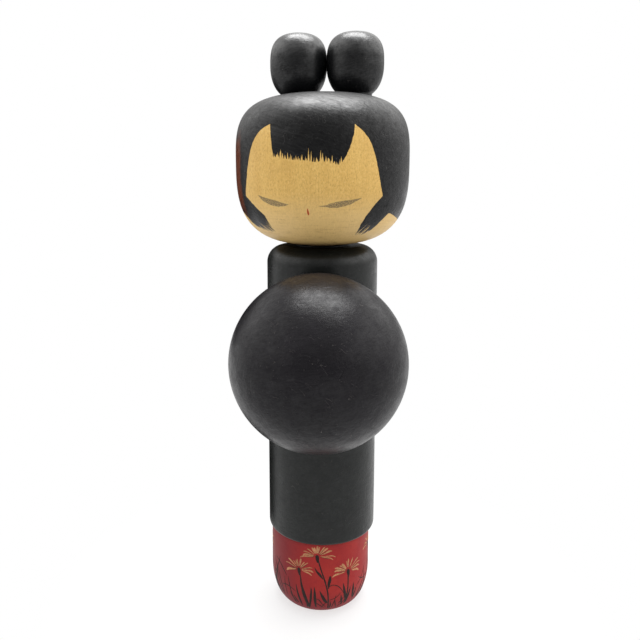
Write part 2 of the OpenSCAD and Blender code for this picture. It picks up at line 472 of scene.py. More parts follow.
def head_material():
    m = Mat("head_paint")
    u, z = face_coordinates(m)
    x, y = m.x, m.y
    mm = u * 0.745                                   # distance round the head in mm

    # hand wobble of the painted edges
    wob = (m.noise(x, y, z, scale=0.35, detail=2) - 0.5) * 1.3
    uw = u + wob * 0.8
    zw = z + wob * 0.35

    # the face's two outer edges, as azimuth by height
    left = zw.curve([(197.0, -31.0), (202.4, -32.3), (206.2, -33.5), (210.6, -40.8), (215.4, -49.8), (219.5, -48.0), (223.9, -46.3), (228.2, -45.0),
                     (231.9, -43.5), (235.6, -41.8), (239.2, -39.4), (241.6, -37.2), (243.6, -34.7), (244.9, -32.6), (246.2, -29.4), (247.4, -25.2)], 190, 250)
    right = zw.curve([(197.0, 36.2), (202.3, 36.6), (206.4, 38.6), (211.8, 43.8), (215.4, 49.1), (220.6, 46.6), (225.8, 44.6), (230.0, 43.2), (233.4, 41.9),
                      (236.6, 40.3), (239.1, 38.6), (241.4, 36.5), (243.3, 34.2), (245.2, 31.4), (247.0, 28.3)], 190, 250)
    side_l = zw.curve([(228.0, -20.6), (233.1, -21.8), (237.4, -22.9), (243.2, -24.1), (247.4, -25.4)], 220, 250)
    side_r = zw.curve([(228.0, 17.5), (231.4, 21.4), (234.2, 23.5), (237.1, 25.2), (242.7, 27.5), (247.0, 28.5)], 220, 250)
    # bristle points along the fringe's lower edge
    sp = m.spikes(mm, 1.30, 3.1).pow(1.3) * 4.4 + m.spikes(mm, 0.62, 9.4).pow(1.2) * 2.6 + m.spikes(mm, 2.9, 1.7) * 0.8
    low = uw.curve([(-24, 232.6), (-19, 232.6), (-12, 231.9), (-4, 231.3), (3, 230.7), (9, 230.6), (14, 230.0), (18, 229.2), (24, 230.6)], -30, 30)
    fringe_gap = (low + sp - 0.2) - z                # positive below the fringe
    e = 0.10
    inside = (uw - left).min(right - uw)             # in degrees, positive within the outer edges
    open_side = (side_l - uw).max(uw - side_r)
    below_peak = 248.2 - z
    opening = (open_side * 0.74).max(fringe_gap)
    field = (inside * 0.74).min(opening).min(below_peak)
    face = field.step(-e, e)

    # lower edge of the hair all round, with sidelocks and nape
    lock_spike = m.spikes(mm * 0.78 - z * 0.62, 1.25, 5.5).pow(1.5) * 5.0 + m.spikes(mm * 0.78 - z * 0.62, 0.5, 2.5) * 1.4
    lock_spike_l = m.spikes(mm * 0.70 + z * 0.72, 1.25, 8.5).pow(1.5) * 5.0 + m.spikes(mm * 0.70 + z * 0.72, 0.5, 6.5) * 1.4
    au = u.abs()
    lock_zone = (au.step(50.0, 44.0)) * au.step(28.0, 32.0)
    spike = (u.step(-1.0, 1.0) * (lock_spike - lock_spike_l) + lock_spike_l) * lock_zone
    hem = uw.curve([(-180, 199.6), (-140, 200.2), (-110, 201.2), (-86, 203.2), (-75, 205.2), (-67.5, 206.8), (-60.4, 204.6), (-56.5, 202.2), (-51.7, 200.4), (-45, 199.3), (-38, 198.4), (-30, 198.4),
                    (30, 198.0), (36.5, 196.8), (44.0, 197.2), (49.3, 199.4), (53.5, 203.2), (58.6, 207.0), (60.0, 207.2), (72, 205.0), (86.4, 202.9), (110, 201.3), (140, 200.2), (180, 199.6)], -180, 180)
    hair_low = (z - hem - spike).step(-e, e)

    # ragged inner ends of the sidelocks: light streaks that run up the lock
    streak = m.noise1(mm * 0.78 - z * 0.62, 2.2, 2.0)
    streak_l = m.noise1(mm * 0.70 + z * 0.72, 2.2, 2.0)
    st = u.step(-1.0, 1.0) * (streak - streak_l) + streak_l
    thin = (z * -1.0 + 205.5).step(0.0, 8.0) * lock_zone
    dry = ((st - 0.80) + thin * 0.26).step(0.0, 0.05) * lock_zone * z.step(204.8, 202.6)
    hair = ((1.0 - face) * hair_low * (1.0 - dry)).clamp()

    # pale waxed wood: upright grain, short flecks, faint rings low down, a few soft stains
    gu = u * 0.75
    fibre = m.noise(gu, y * 0.0, z * 0.045, scale=1.5, detail=5, rough=0.62)
    fleck = m.noise(gu, y * 0.0, z * 0.22, scale=2.6, detail=2, rough=0.5)
    broad = m.noise(gu, y * 0.0, z * 0.12, scale=0.16, detail=3)
    ringn = m.noise(gu * 0.09, y * 0.0, z, scale=1.1, detail=4, rough=0.65)
    stain = m.noise(x, y, z, scale=0.07, detail=4, rough=0.6, distort=0.5)
    grain2 = m.noise(gu, y * 0.0, z * 0.3, scale=1.9, detail=4, rough=0.7)
    wood = m.mix(broad.step(0.25, 0.75), WOOD_A, WOOD_B)
    pores = m.noise(gu, y * 0.0, z * 0.62, scale=1.35, detail=4, rough=0.72, distort=0.5)
    wood = m.mix(fibre.step(0.42, 0.75) * 0.26, wood, WOOD_C)
    wood = m.mix(fibre.step(0.5, 0.2) * 0.26, wood, WOOD_D)
    wood = m.mix(grain2.step(0.50, 0.66) * 0.52, wood, WOOD_C)
    wood = m.mix(pores.step(0.52, 0.66) * 0.62, wood, WOOD_C)
    wood = m.mix(pores.step(0.46, 0.32) * 0.60, wood, WOOD_D)
    wood = m.mix(fleck.step(0.56, 0.70) * 0.32, wood, WOOD_E)
    # painted light: the lower face is painted paler to lift the shade there; the same mask also brings out the turning
    # rings low down
    low_face_fill_and_rings = z.step(219.0, 203.0)
    wood = m.mix(low_face_fill_and_rings * 0.6, wood, WOOD_LOW_FILL)
    # painted shade: the sides of the face a little darker, against the light from the sides
    wood = m.mix(u.abs().step(14.0, 44.0) * 0.09, wood, (0.30, 0.17, 0.055))
    wood = m.mix(ringn.step(0.48, 0.72) * pores.step(0.34, 0.60) * (low_face_fill_and_rings * 0.42 + 0.10), wood, WOOD_E)
    wood = m.mix(stain.step(0.54, 0.8) * 0.4, wood, WOOD_C)
    # painted shade: the head's underside darkened towards the neck, where the robe's shoulder shades it
    wood = m.mix(z.step(194.5, 190.8) * 0.7, wood, (0.20, 0.10, 0.035))

    # black of the hair, with brush drag, rubbed high spots and a red-brown rub on the doll's right side
    brush = m.noise(x, y, z * 0.16, scale=1.1, detail=4, rough=0.6)
    cloud = m.noise(x + 40.0, y, z, scale=0.05, detail=3)
    patch = m.noise(x, y + 17.0, z, scale=0.24, detail=4, rough=0.62, distort=0.7)
    mottle = m.noise(x, y, z, scale=1.0, detail=4, rough=0.65)
    crown = z.step(246.0, 262.0)
    black = m.mix(cloud.step(0.3, 0.7), (0.0020, 0.0021, 0.0026), (0.0038, 0.0038, 0.0042))
    black = m.mix(patch.step(0.5, 0.8) * 0.4, black, (0.011, 0.0105, 0.0105))
    zr = z + (patch - 0.5) * 16.0 + (cloud - 0.5) * 10.0
    rub = (u + (patch - 0.5) * 5.0).step(-53.5, -58.5) * (u + (cloud - 0.5) * 30.0 + (patch - 0.5) * 12.0).step(-106.0, -80.0) * zr.step(202.0, 213.0) * zr.step(249.0, 236.0)
    rub = rub * (patch * 0.5 + brush * 0.5 + 0.30).step(0.45, 0.75)
    black = m.mix(rub * 0.95, black, (0.120, 0.027, 0.008))
    sa = m.noise(x * 0.5 + z * 0.3, y * 0.5, z * 0.15 - x * 0.2, scale=0.5, detail=1.5)
    line = (1.0 - ((sa - 0.5).abs() * 150.0)).clamp() * patch.step(0.46, 0.6)
    sb = m.noise(x * 0.3 - z * 0.55, y * 0.4, z * 0.2 + x * 0.45, scale=0.55, detail=1.0)
    line2 = (1.0 - ((sb - 0.5).abs() * 160.0)).clamp() * mottle.step(0.5, 0.6) * z.step(236.0, 242.0)
    scratch = (line + line2).clamp()
    d, pick, _ = m.cells(x, y, z, scale=0.4)
    speck = d.step(0.05, 0.1, 1.0, 0.0) * pick.step(0.84, 0.88)
    black = m.mix((scratch * 0.3 + speck * 0.45).clamp(), black, srgb(104, 102, 100))

    # closed eyes in dry grey brush, widest in the middle, the outer ends higher
    def eye(inner, outer, line, wide, z_lo, z_hi):
        t = (u - inner) / (outer - inner)
        tc = t.clamp()
        line_z = tc.curve(line, 0, 1)
        half = tc.curve(wide, 0, 1)
        ragged = (m.noise(gu, y * 0.0, z, scale=2.2, detail=3) - 0.5) * 0.55
        off = z - line_z
        ends = t.step(-0.02, 0.02) * t.step(1.02, 0.98)
        body = (half - off.abs() + ragged * half.step(0.2, 0.9)).step(-0.10, 0.16) * ends
        drag = m.noise(gu * 0.5 + z * 0.15, y * 0.0, z * 1.2, scale=1.8, detail=3, rough=0.65)
        grit = m.noise(gu, y * 0.0, z, scale=2.8, detail=3, rough=0.7)
        hold = (grit * 0.95 + drag * 0.30 - 0.55).step(0.0, 0.10)
        rim = (off - half * 0.75).abs().step(0.30, 0.05) * t.step(0.45, 0.95)
        return (body * (hold * 0.66 + 0.32 + rim * 0.25)).clamp()

    eye_l = eye(-12.6, -35.2, [(0.0, 211.75), (0.16, 211.7), (0.34, 212.0), (0.59, 212.8), (0.85, 214.15), (1.0, 215.7)],
                [(0.0, 0.16), (0.16, 0.72), (0.34, 1.32), (0.59, 1.40), (0.85, 0.92), (0.96, 0.40), (1.0, 0.14)], 0, 1)
    eye_r = eye(6.6, 33.2, [(0.0, 211.15), (0.17, 211.2), (0.26, 211.4), (0.43, 211.75), (0.61, 212.4), (0.75, 212.9), (0.85, 213.6), (1.0, 214.6)],
                [(0.0, 0.12), (0.17, 0.40), (0.26, 1.00), (0.43, 1.42), (0.61, 1.26), (0.75, 0.98), (0.87, 0.52), (1.0, 0.12)], 0, 1)
    eyes = eye_l.max(eye_r)
    skin = m.mix(eyes * 0.90, wood, (0.108, 0.092, 0.060))

    # one small red touch for the mouth
    lip_w = z.curve([(207.0, 0.10), (207.6, 0.42), (208.3, 0.50), (209.1, 0.38), (210.0, 0.14)], 206, 211)
    lip_off = (mm - (208.5 - z) * 0.12 + 0.25).abs()
    lip = (lip_w - lip_off).step(-0.16, 0.12) * z.step(206.8, 207.2) * z.step(210.3, 209.9)
    skin = m.mix(lip * 0.95, skin, (0.56, 0.085, 0.022))
    skin = m.mix((lip_w * 0.45 - lip_off).step(-0.1, 0.1) * lip * 0.7, skin, (0.22, 0.025, 0.008))

    colour = m.mix(hair, skin, black)
    r_wood = 0.44 + (fibre - 0.5) * 0.16 + (stain - 0.5) * 0.1
    drag = m.noise(x * 0.5 + y * 0.9, y * 0.4 - z * 0.5, z * 1.6 + x * 0.5, scale=0.7, detail=5, rough=0.72)
    r_hair = 0.32 + (patch - 0.5) * 0.26 + (mottle - 0.5) * 0.16 + scratch * 0.12 + crown * 0.15
    r = hair * (r_hair - r_wood) + r_wood
    h_wood = (fibre - 0.5) * 0.30 + (fleck - 0.5) * 0.12 + (ringn - 0.5) * 0.18
    h_hair = (brush - 0.5) * 0.6 + (mottle - 0.5) * 0.6 + (patch - 0.5) * 2.0 + (drag - 0.5) * 0.9 + 0.32 - scratch * 0.25 - speck * 0.4
    height = hair * (h_hair - h_wood) + h_wood + eyes * 0.05 + lip * 0.15
    worn_crown = z.curve([(240.0, 1.0), (250.0, 1.1), (255.0, 1.45), (258.5, 1.65), (260.5, 1.4), (262.2, 0.8), (264.5, 0.35)], 240.0, 264.5)
    shine = hair * ((crown * 0.30 + 0.24) * worn_crown * (1.0 - (patch - 0.5) * 1.4 - (drag - 0.5) * 2.0) - 0.25) + 0.25
    return m.set(color=colour, rough=r, normal=m.bump(height, 0.8, 0.13), spec=shine.clamp())


head_paint = head_material()


def red_material():
    m = Mat("hem_red")
    x, y, z = m.x, m.y, m.z
    cloud = m.noise(x, y, z, scale=0.06, detail=4, rough=0.6)
    patch = m.noise(x, y, z, scale=0.3, detail=4, rough=0.6, distort=0.6)
    mottle = m.noise(x, y, z, scale=1.4, detail=3, rough=0.6)
    rings = m.noise(x * 0.03, y * 0.03, z, scale=1.8, detail=3)
    base = m.mix(cloud.step(0.3, 0.7), (0.285, 0.0165, 0.0175), (0.345, 0.0240, 0.0200))
    base = m.mix(patch.step(0.5, 0.78) * 0.45, base, (0.215, 0.0135, 0.0200))
    base = m.mix(mottle.step(0.55, 0.75) * 0.2, base, (0.340, 0.0360, 0.0300))
    # painted shade: the red darker towards the foot, where the side rounds under
    base = m.mix(z.step(16.0, 2.0) * 0.62, base, (0.140, 0.0100, 0.0170))
    # painted shade: the red darker on the doll's right side (-X), where less light reaches
    base = m.mix((x * -1.0 - 2.0).step(0.0, 20.0) * 0.72, base, (0.130, 0.0120, 0.0165))
    shade = z.step(38.6, 40.9) * 0.35
    base = m.mix(shade, base, srgb(92, 22, 22))
    # the foot is worn back to bare wood where it stands
    rad = (x.pow(2.0) + y.pow(2.0)).pow(0.5)
    fibre = m.noise(x, y * 0.1, z, scale=1.4, detail=4, rough=0.6)
    wood = m.mix(fibre.step(0.35, 0.7), srgb(206, 166, 112), srgb(168, 122, 72))
    under = z.step(0.14, 0.04) * (rad + (patch - 0.5) * 3.0).step(17.9, 16.9)
    rubbed = z.step(1.5, 0.2) * patch.step(0.5, 0.62) * 0.6
    bare = under.max(rubbed * rad.step(16.0, 18.0))
    colour = m.mix(bare, base, wood)
    r = 0.48 + (patch - 0.5) * 0.16 + (mottle - 0.5) * 0.1 + bare * 0.16
    height = (rings - 0.5) * 0.5 + (mottle - 0.5) * 0.4 + (patch - 0.5) * 0.8 + fibre * bare * 0.5
    return m.set(color=colour, rough=r, normal=m.bump(height, 0.6, 0.10), spec=0.15)


hem_red = red_material()


def paint(name, a, b, c, rough):
    """Opaque brush paint, streaked along and thinner at the edges."""
    m = Mat(name)
    n1 = m.noise(m.x, m.y, m.z, scale=1.1, detail=4, rough=0.65)
    n2 = m.noise(m.x, m.y, m.z * 0.5, scale=3.4, detail=2)
    n3 = m.noise(m.x + 9.0, m.y, m.z, scale=0.3, detail=3)
    col = m.mix(n1.step(0.35, 0.65), a, b)
    col = m.mix(n2.step(0.52, 0.72) * 0.6, col, c)
    col = m.mix(n3.step(0.5, 0.7) * 0.35, col, tuple(v * 0.7 for v in a))
    return m.set(color=col, rough=rough + (n1 - 0.5) * 0.2, normal=m.bump(n2 * 0.6 + n1 * 0.6, 0.5, 0.05), spec=0.15)


petal_paint = paint("petal_paint", srgb(170, 112, 80), srgb(190, 142, 100), srgb(132, 66, 50), 0.5)
stem_paint = paint("stem_paint", srgb(34, 22, 22), srgb(46, 36, 32), srgb(70, 28, 28), 0.6)


def peg_material():
    """Plain turned wood, with the neck's collar blackened where it shows between head and robe."""
    m = Mat("peg_wood")
    x, y, z = m.x, m.y, m.z
    fibre = m.noise(x, y, z * 0.07, scale=1.6, detail=4, rough=0.62)
    ringn = m.noise(x * 0.05, y * 0.05, z, scale=1.6, detail=3)
    fleck = m.noise(x, y, z * 0.3, scale=3.2, detail=2)
    wood = m.mix(fibre.step(0.3, 0.7), srgb(226, 196, 146), srgb(200, 160, 106))
    wood = m.mix(fleck.step(0.6, 0.75) * 0.4, wood, srgb(168, 126, 78))
    rad = (x.pow(2.0) + y.pow(2.0)).pow(0.5)
    collar = (z - (ROBE_Z1 + HEAD_Z0) / 2).abs().step(1.0, 0.8) * rad.step(9.02, 9.1)
    dark = m.mix(ringn.step(0.4, 0.7), (0.010, 0.010, 0.011), (0.018, 0.017, 0.017))
    colour = m.mix(collar, wood, dark)
    r = 0.52 + (fibre - 0.5) * 0.2 - collar * 0.1
    h = (fibre - 0.5) * 0.4 + (ringn - 0.5) * 0.6
    return m.set(color=colour, rough=r, normal=m.bump(h, 0.5, 0.1))


peg_wood = peg_material()

for node in ("neck_peg", "body_dowel", "ball_dowel", "bun_peg_left", "bun_peg_right"):
    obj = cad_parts[node]
    obj.data.materials.clear()
    obj.data.materials.append(peg_wood)
    for p in obj.data.polygons:
        p.material_index = 0

# ---------------------------------------------------------------- robe


def ripple(seed, amount):
    """Slow out-of-round of hand turning, in mm, for the outer skin."""
    rnd = random.Random(seed)
    waves = [(rnd.choice((2, 3, 4)), rnd.uniform(0, 6.28), rnd.uniform(0.02, 0.09), rnd.uniform(0, 6.28), rnd.uniform(0.4, 1.0)) for _ in range(5)]

    def off(angle, z):
        return amount * sum(w * math.sin(k * angle + p + z * q * 0.3) * math.sin(z * q + s) for k, p, q, s, w in waves) / 3
    return off


def build_robe():
    r_sh, r_ed = 8.5, 1.6
    neck_floor = neck_lo.z - 0.5
    dowel_roof = dowel_hi.z + 0.5
    out = [(0.0, dowel_roof), (DOWEL_R, dowel_roof), (DOWEL_R, ROBE_Z0 + 0.4), (DOWEL_R + 0.4, ROBE_Z0)]
    out = resample(out, 3.0)
    out += resample([(DOWEL_R + 0.4, ROBE_Z0), (ROBE_R - r_ed, ROBE_Z0)], 2.5)[1:]
    for i in range(1, 11):
        a = math.radians(90 * i / 10)
        out.append((ROBE_R - r_ed + r_ed * math.sin(a), ROBE_Z0 + r_ed - r_ed * math.cos(a)))
    out += resample([(ROBE_R, ROBE_Z0 + r_ed), (ROBE_R, ROBE_Z1 - r_sh)], 1.5)[1:]
    for i in range(1, 25):
        a = math.radians(90 * i / 24)
        out.append((ROBE_R - r_sh + r_sh * math.cos(a), ROBE_Z1 - r_sh + r_sh * math.sin(a)))
    out += resample([(ROBE_R - r_sh, ROBE_Z1), (NECK_R + 0.3, ROBE_Z1), (NECK_R, ROBE_Z1 - 0.3), (NECK_R, neck_floor), (0.0, neck_floor)], 2.5)[1:]
    off = ripple(5, 0.07)

    def shape(p, a, r):
        if r > 20:
            k = off(a, p.z) * min(1.0, (r - 20) / 6)
            p.x += k * math.sin(a)
            p.y -= k * math.cos(a)
        return p
    mesh = turned("robe", out, 208, shape=shape)
    mesh = cut(mesh, [cutter("robe_bore", PIN_R, (0, -ROBE_R - 2, BALL_Z), (0, 1, 0), 2 + 18.5)])
    soften(mesh, 34)
    mesh.materials.clear()
    mesh.materials.append(robe_black)
    obj = new_object("robe", mesh, "body")
    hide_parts("robe_body")
    return obj


build_robe()

# ---------------------------------------------------------------- hem and its painting

HEM_SHIFT = -0.6                                    # the hem sits a touch to the doll's right


def hem_r(z):
    if z >= HEM_ROUND:
        return HEM_R
    k = max(0.0, (HEM_ROUND - z) / HEM_ROUND)
    return HEM_R - (HEM_R - FOOT_R) * (1 - math.sqrt(max(0.0, 1 - k * k)))


def build_hem():
    out = resample([(0.0, 0.0), (FOOT_R - 0.5, 0.0)], 1.6)
    n = 48
    for i in range(n + 1):
        a = math.radians(90 * i / n)
        out.append((FOOT_R + (HEM_R - FOOT_R) * math.sin(a), HEM_ROUND * (1 - math.cos(a))))
    top = hem_hi.z
    floor = dowel_lo.z - 0.5
    out += resample([(HEM_R, HEM_ROUND), (HEM_R, top)], 1.2)[1:]
    out += resample([(HEM_R, top), (DOWEL_R + 0.4, top), (DOWEL_R, top - 0.4), (DOWEL_R, floor), (0.0, floor)], 2.5)[1:]
    off = ripple(8, 0.05)

    def shape(p, a, r):
        if r > 12:
            p.x += HEM_SHIFT * min(1.0, (r - 12) / 4)
        if r > FOOT_R + 0.5:
            k = off(a, p.z) * min(1.0, (r - FOOT_R - 0.5) / 4)
            p.x += k * math.sin(a)
            p.y -= k * math.cos(a)
        return p
    mesh = turned("hem", out, 208, shape=shape)
    soften(mesh, 34)
    mesh.materials.append(hem_red)
    obj = new_object("hem", mesh, "body")
    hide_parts("hem_base")
    return obj, off


hem, hem_off = build_hem()

# arc length up the hem's side, so that a brush stroke keeps its width where the side rounds under
ARC = [(0.0, 0.0)]
_z = 0.0
while _z < 41.0:
    step = 0.02 if _z < 1 else 0.1
    z2 = _z + step
    ARC.append((z2, ARC[-1][1] + math.hypot(step, hem_r(z2) - hem_r(_z))))
    _z = z2


def arc_of(z):
    for (za, sa), (zb, sb) in zip(ARC, ARC[1:]):
        if z <= zb:
            return sa + (sb - sa) * (z - za) / (zb - za)
    return ARC[-1][1]


def z_of(s):
    for (za, sa), (zb, sb) in zip(ARC, ARC[1:]):
        if s <= sb:
            return za + (zb - za) * (s - sa) / (sb - sa)
    return ARC[-1][0]


def on_hem(az, s, lift):
    """Point in mm on the hem at azimuth az in degrees and arc length s, raised by lift."""
    z = z_of(max(0.02, s))
    r = hem_r(z)
    dr = (hem_r(z + 0.05) - hem_r(max(0.0, z - 0.05))) / (0.05 + min(0.05, z))
    a = math.radians(az)
    nr, nz = 1 / math.hypot(1, dr), -dr / math.hypot(1, dr)
    k = hem_off(a, z) * min(1.0, max(0.0, (r - FOOT_R - 0.5) / 4)) if r > FOOT_R + 0.5 else 0.0
    rr = r + k + lift * nr
    return Vector((rr * math.sin(a) + HEM_SHIFT, -rr * math.cos(a), z + lift * nz))


def smooth_path(points, steps=9):
    """Catmull-Rom through (azimuth, arc length, half width)."""
    pts = [points[0]] + list(points) + [points[-1]]
    out = []
    for i in range(1, len(pts) - 2):
        p0, p1, p2, p3 = pts[i - 1:i + 3]
        for k in range(steps):
            t = k / steps
            out.append(tuple(0.5 * ((2 * b) + (-a + c) * t + (2 * a - 5 * b + 4 * c - d) * t * t + (-a + 3 * b - 3 * c + d) * t ** 3)
                             for a, b, c, d in zip(p0, p1, p2, p3)))
    out.append(tuple(pts[-2]))
    return out


RING = [(-1.0, 0.0), (-0.72, 0.7), (-0.3, 1.0), (0.3, 1.0), (0.72, 0.7), (1.0, 0.0), (0.6, -0.8), (-0.6, -0.8)]


def stroke(bm, points, thick=0.075, steps=9, rnd=None):
    """One raised brush stroke, closed, tapering to both ends. points are (azimuth, height, half width)."""
    path = smooth_path([(az, arc_of(z), w) for az, z, w in points], steps)
    rings = []
    last = len(path) - 1
    for i, (az, s, w) in enumerate(path):
        a0, s0, _ = path[max(0, i - 1)]
        a1, s1, _ = path[min(last, i + 1)]
        rr = hem_r(z_of(s))
        dx, dy = math.radians(a1 - a0) * rr, s1 - s0
        ln = math.hypot(dx, dy) or 1.0
        px, py = -dy / ln, dx / ln
        w = max(0.05, w)
        if rnd is not None:
            w *= rnd.uniform(0.9, 1.1)
        ends = min(1.0, 0.25 + 3.2 * min(i, last - i) / last)
        ring = []
        for c, h in RING:
            naz = az + math.degrees(px * w * c / rr)
            q = on_hem(naz, s + py * w * c, h * thick * ends)
            ring.append(bm.verts.new(q * MM))
        rings.append(ring)
    k = len(RING)
    for a, b in zip(rings, rings[1:]):
        for j in range(k):
            n = (j + 1) % k
            bm.faces.new((a[j], a[n], b[n], b[j]))
    bm.faces.new(rings[0][::-1])
    bm.faces.new(rings[-1])


def strokes_object(name, bm, material, body="body"):
    bmesh.ops.triangulate(bm, faces=[f for f in bm.faces if len(f.verts) > 4])
    bmesh.ops.recalc_face_normals(bm, faces=bm.faces)
    mesh = bpy.data.meshes.new(name)
    bm.to_mesh(mesh)
    bm.free()
    soften(mesh, 60)
    mesh.materials.append(material)
    return new_object(name, mesh, body)


def flower(petals, stems, az, z, spread, size, count, rnd, lean=0.0, droop=1.0):
    """A plain daisy seen from the side: a fan of petals over a dark cup."""
    for i in range(count):
        t = -1 + 2 * i / (count - 1)
        if 0 < i < count - 1 and rnd.random() < 0.08:
            continue
        ang = math.radians(t * spread + lean + rnd.uniform(-6, 6))
        reach = size * (1.0 + 0.44 * abs(math.sin(ang)) + rnd.uniform(-0.22, 0.14))
        base = size * rnd.uniform(0.26, 0.36)
        w = size * rnd.choice((0.04, 0.05, 0.055, 0.07, 0.08))

        def at(rad, sag=0.0):
            side, up = rad * math.sin(ang), rad * math.cos(ang) - sag
            return az + math.degrees(side / HEM_R), z + 0.4 + up * 0.92
        a0, z0 = at(base)
        a1, z1 = at(reach * 0.45, 0.02 * size)
        a2, z2 = at(reach * 0.8, 0.05 * size * droop * abs(math.sin(ang)))
        a3, z3 = at(reach, 0.22 * size * droop * abs(math.sin(ang)) ** 2)
        top = 40.3
        stroke(petals, [(a0, min(z0, top), w * 0.35), (a1, min(z1, top), w * 0.8), (a2, min(z2, top), w * 1.15), (a3, min(z3, top + 0.3), w * 0.55)], thick=0.09, steps=6, rnd=rnd)
        if rnd.random() < 0.6:                         # a thin dark line beside the petal
            ang += math.radians(rnd.choice((-5.0, 5.0)))
            (b0, y0), (b1, y1) = at(base * 0.9), at(reach * rnd.uniform(0.6, 0.85), 0.04 * size * droop * abs(math.sin(ang)))
            stroke(stems, [(b0, min(y0, top), 0.10), ((b0 + b1) / 2, min((y0 + y1) / 2, top), 0.13), (b1, min(y1, top), 0.06)], thick=0.05, steps=5, rnd=rnd)
    # dark cup under the petals
    stroke(stems, [(az - 0.4, z + 1.2, 0.35), (az - 0.2, z + 0.3, 0.95), (az + 0.2, z - 1.4, 0.8), (az + 0.6, z - 3.0, 0.35)], thick=0.08, steps=6, rnd=rnd)


